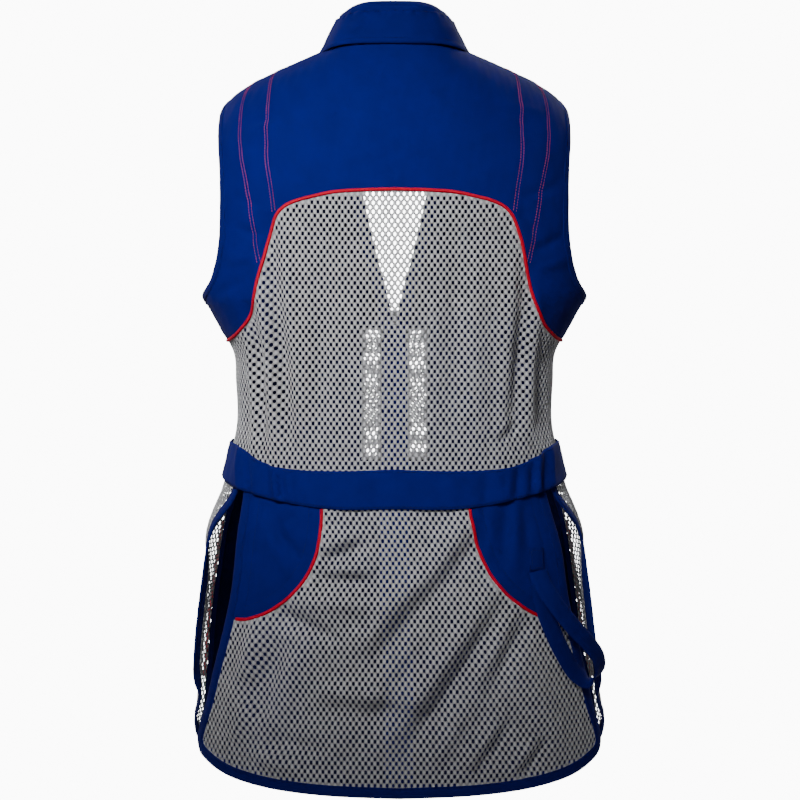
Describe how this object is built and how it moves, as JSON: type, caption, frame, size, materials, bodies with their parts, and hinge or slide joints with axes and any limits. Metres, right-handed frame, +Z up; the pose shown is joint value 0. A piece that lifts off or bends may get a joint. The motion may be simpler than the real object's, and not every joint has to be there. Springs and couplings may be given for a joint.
{
  "type": "shooting vest",
  "caption": "Sleeveless zip-front shooting vest in solid cloth and mesh, worn open at the neck, with a gathered waistband, a split tail and a strap loop at the back.",
  "frame": {"origin": "on the centre plane at the height of the side neck points, where the wearer's shoulders carry the vest", "axes": "+Z up, -Y out of the wearer's chest, +X towards the wearer's left"},
  "size_m": [0.4294, 0.2716, 0.8407],
  "materials": {
    "blue_cloth": "dark royal blue woven cloth, matt",
    "grey_mesh": "grey knitted mesh with oval holes",
    "red_cord": "bright red covered piping",
    "zip_metal": "bright satin metal"
  },
  "bodies": {
    "vest": {"back_yoke": "blue_cloth", "back_mesh": "grey_mesh", "waistband": "blue_cloth", "tail_mesh": "grey_mesh", "tail_binding": "blue_cloth", "yoke_piping": "red_cord", "strap_tab": "blue_cloth", "hanging_loop": "blue_cloth", "collar_stand": "blue_cloth", "collar_fall": "blue_cloth", "tail_facing_left": "blue_cloth", "facing_piping_left": "red_cord", "armhole_binding_left": "blue_cloth", "front_left": "blue_cloth", "front_mesh_left": "grey_mesh", "front_piping_left": "red_cord", "fly_left": "blue_cloth", "zip_tape_left": "blue_cloth", "skirt_mesh_left": "grey_mesh", "skirt_binding_left": "blue_cloth", "pocket_left": "blue_cloth", "tail_facing_right": "blue_cloth", "facing_piping_right": "red_cord", "armhole_binding_right": "blue_cloth", "front_right": "blue_cloth", "front_mesh_right": "grey_mesh", "front_piping_right": "red_cord", "fly_right": "blue_cloth", "zip_tape_right": "blue_cloth", "skirt_mesh_right": "grey_mesh", "skirt_binding_right": "blue_cloth", "pocket_right": "blue_cloth", "zip_chain": "zip_metal", "zip_slider": "zip_metal"},
    "pull_tab": {"pull_tab": "zip_metal"}
  },
  "joints": [
    {"name": "pull_tab_swing", "type": "hinge", "parent": "vest", "child": "pull_tab", "pos_m": [0, -0.13758, -0.26461], "axis": [-1, 0, 0], "range_deg": [0, 165]}
  ]
}
